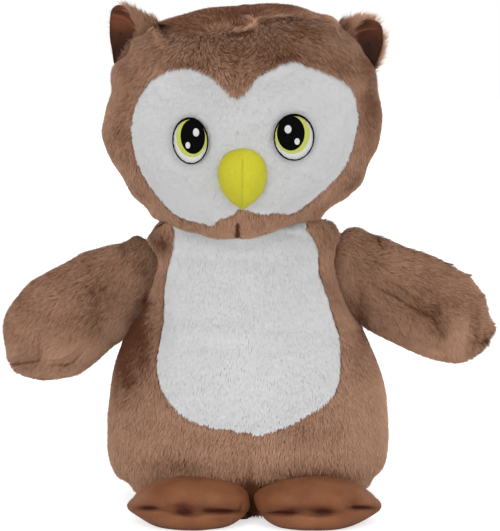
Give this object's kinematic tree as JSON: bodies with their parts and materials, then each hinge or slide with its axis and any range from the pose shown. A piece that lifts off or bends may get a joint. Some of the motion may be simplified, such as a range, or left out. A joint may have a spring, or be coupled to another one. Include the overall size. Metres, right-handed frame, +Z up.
{
  "type": "plush owl",
  "caption": "Sitting stuffed owl with a nodding head, swinging wings, bending ears and feet, a padded beak and embroidered eyes.",
  "frame": {"origin": "on the underside of the base panel, where the owl rests on the floor, below the middle of the neck", "axes": "+Z up, the face looks along -Y, the left wing of the owl points along +X"},
  "size_m": [0.3953, 0.2014, 0.4041],
  "materials": {
    "brown_plush": "matt pile",
    "white_plush": "matt short pile",
    "brown_satin": "satin",
    "dark_satin": "satin",
    "yellow_satin": "satin",
    "stuffing": "matt fibre",
    "black_thread": "satin stitch",
    "white_thread": "satin stitch",
    "green_thread": "satin stitch"
  },
  "bodies": {
    "body": {"belly_panel": "white_plush", "body_base_skin": "brown_plush", "body_stuffing": "stuffing", "body_front_left_skin": "brown_plush", "body_back_left_skin": "brown_plush", "body_front_right_skin": "brown_plush", "body_back_right_skin": "brown_plush"},
    "head": {"face_panel": "white_plush", "head_stuffing": "stuffing", "head_front_left_skin": "brown_plush", "head_back_left_skin": "brown_plush", "eye_left_rim": "black_thread", "eye_left_white": "white_thread", "eye_left_iris": "green_thread", "eye_left_pupil": "black_thread", "eye_left_glint_upper": "white_thread", "eye_left_glint_lower": "white_thread", "head_front_right_skin": "brown_plush", "head_back_right_skin": "brown_plush", "eye_right_rim": "black_thread", "eye_right_white": "white_thread", "eye_right_iris": "green_thread", "eye_right_pupil": "black_thread", "eye_right_glint_upper": "white_thread", "eye_right_glint_lower": "white_thread", "beak_left_panel": "yellow_satin", "beak_right_panel": "yellow_satin", "beak_stuffing": "stuffing"},
    "ear_left": {"ear_left_outer": "brown_plush", "ear_left_lining": "dark_satin"},
    "ear_right": {"ear_right_outer": "brown_plush", "ear_right_lining": "dark_satin"},
    "wing_left": {"wing_left_front_skin": "brown_plush", "wing_left_back_skin": "brown_plush", "wing_left_stuffing": "stuffing"},
    "wing_right": {"wing_right_front_skin": "brown_plush", "wing_right_back_skin": "brown_plush", "wing_right_stuffing": "stuffing"},
    "foot_left": {"foot_left_upper": "brown_satin", "foot_left_sole": "brown_satin", "foot_left_stuffing": "stuffing"},
    "foot_right": {"foot_right_upper": "brown_satin", "foot_right_sole": "brown_satin", "foot_right_stuffing": "stuffing"}
  },
  "joints": [
    {"name": "head_nod", "type": "hinge", "parent": "body", "child": "head", "pos_m": [0, 0, 0.215], "axis": [1, 0, 0], "range_deg": [-12, 6], "stiffness_Nm_per_rad": 2.5},
    {"name": "wing_left_swing", "type": "hinge", "parent": "body", "child": "wing_left", "pos_m": [0.073, 0, 0.218], "axis": [0.2933, 0, -0.956], "range_deg": [-40, 55], "stiffness_Nm_per_rad": 0.06},
    {"name": "ear_left_bend", "type": "hinge", "parent": "head", "child": "ear_left", "pos_m": [0.0916, 0, 0.3766], "axis": [0.7071, 0, -0.7071], "range_deg": [-30, 30], "stiffness_Nm_per_rad": 0.01},
    {"name": "foot_left_bend", "type": "hinge", "parent": "body", "child": "foot_left", "pos_m": [0.055, -0.075, 0.008], "axis": [1, 0, 0], "range_deg": [-12, 18], "stiffness_Nm_per_rad": 0.3},
    {"name": "wing_right_swing", "type": "hinge", "parent": "body", "child": "wing_right", "pos_m": [-0.073, 0, 0.218], "axis": [0.2933, 0, 0.956], "range_deg": [-40, 55], "stiffness_Nm_per_rad": 0.06},
    {"name": "ear_right_bend", "type": "hinge", "parent": "head", "child": "ear_right", "pos_m": [-0.0916, 0, 0.3766], "axis": [0.7071, 0, 0.7071], "range_deg": [-30, 30], "stiffness_Nm_per_rad": 0.01},
    {"name": "foot_right_bend", "type": "hinge", "parent": "body", "child": "foot_right", "pos_m": [-0.0425, -0.075, 0.008], "axis": [1, 0, 0], "range_deg": [-12, 18], "stiffness_Nm_per_rad": 0.3}
  ]
}
